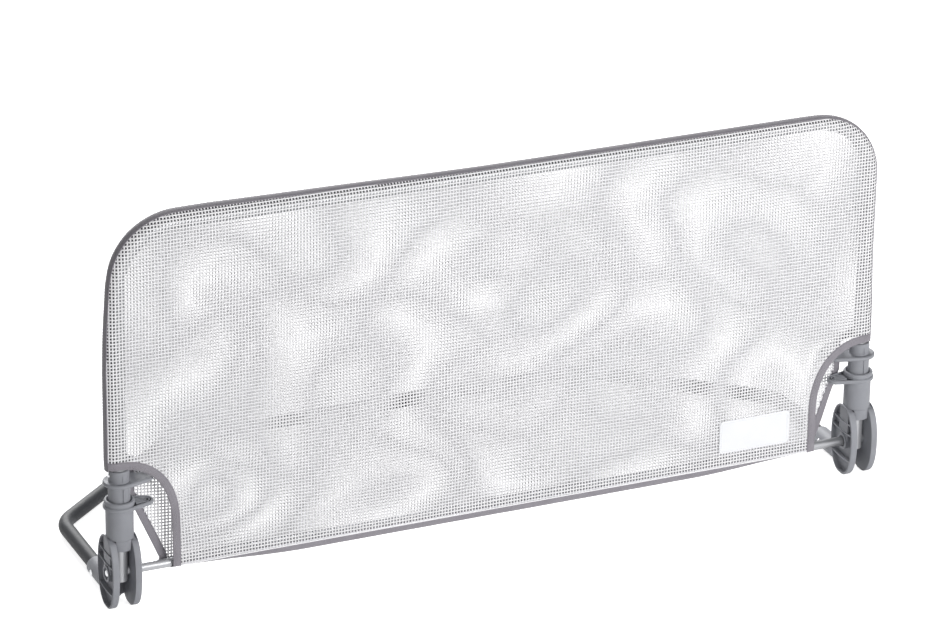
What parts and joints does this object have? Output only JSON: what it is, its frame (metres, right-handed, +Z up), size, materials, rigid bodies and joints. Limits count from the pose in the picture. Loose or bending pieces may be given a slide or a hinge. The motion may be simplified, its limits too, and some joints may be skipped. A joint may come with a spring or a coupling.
{
  "type": "folding bed guard rail",
  "caption": "Mesh-covered bed guard rail with sprung lock sleeves, folding forward and down on fork brackets whose tube frame slides under a mattress.",
  "frame": {"origin": "middle of the bounding box at floor height, under the fork and foot frame", "axes": "+X along the rail to the right seen from outside the bed, +Y back under the mattress, +Z up"},
  "size_m": [0.8944, 0.3694, 0.4323],
  "materials": {
    "hinge_plastic": "mid grey moulded plastic with a fine satin texture",
    "foot_steel": "dark grey powder-coated steel tube",
    "bright_steel": "bright zinc-plated steel",
    "post_steel": "pale silver-painted steel tube",
    "spring_steel": "drawn spring wire",
    "bush_plastic": "off-white nylon",
    "white_mesh": "white warp-knit polyester mesh with small open holes",
    "grey_tape": "mauve-grey woven polyester tape",
    "patch_cloth": "plain white satin cloth"
  },
  "bodies": {
    "base": {"crossbar": "bright_steel", "left_foot_tube": "foot_steel", "right_foot_tube": "foot_steel", "foot_coupler": "foot_steel", "left_bracket": "hinge_plastic", "left_axle_screw": "bright_steel", "left_socket_rivet": "bright_steel", "right_bracket": "hinge_plastic", "right_axle_screw": "bright_steel", "right_socket_rivet": "bright_steel"},
    "guard": {"guard_tube": "post_steel", "front_mesh": "white_mesh", "rear_mesh": "white_mesh", "edge_gusset": "grey_tape", "hem_strip": "grey_tape", "sewn_patch": "patch_cloth", "left_pivot_bush": "bush_plastic", "left_inner_sleeve": "hinge_plastic", "left_sleeve_rivet": "bright_steel", "left_front_binding": "grey_tape", "left_rear_binding": "grey_tape", "right_pivot_bush": "bush_plastic", "right_inner_sleeve": "hinge_plastic", "right_sleeve_rivet": "bright_steel", "right_front_binding": "grey_tape", "right_rear_binding": "grey_tape"},
    "left_lock": {"left_lock_sleeve": "hinge_plastic", "left_return_spring": "spring_steel"},
    "right_lock": {"right_lock_sleeve": "hinge_plastic", "right_return_spring": "spring_steel"}
  },
  "joints": [
    {"name": "guard_fold", "type": "hinge", "parent": "base", "child": "guard", "pos_m": [0, -0.1613, 0.039], "axis": [1, 0, 0], "range_deg": [0, 180]},
    {"name": "left_lock_lift", "type": "slide", "parent": "guard", "child": "left_lock", "axis": [0, 0, 1], "range_m": [0, 0.016], "stiffness_N_per_m": 150, "springref_m": -0.01, "deforming": ["left_return_spring"]},
    {"name": "right_lock_lift", "type": "slide", "parent": "guard", "child": "right_lock", "axis": [0, 0, 1], "range_m": [0, 0.016], "stiffness_N_per_m": 150, "springref_m": -0.01, "deforming": ["right_return_spring"]}
  ]
}
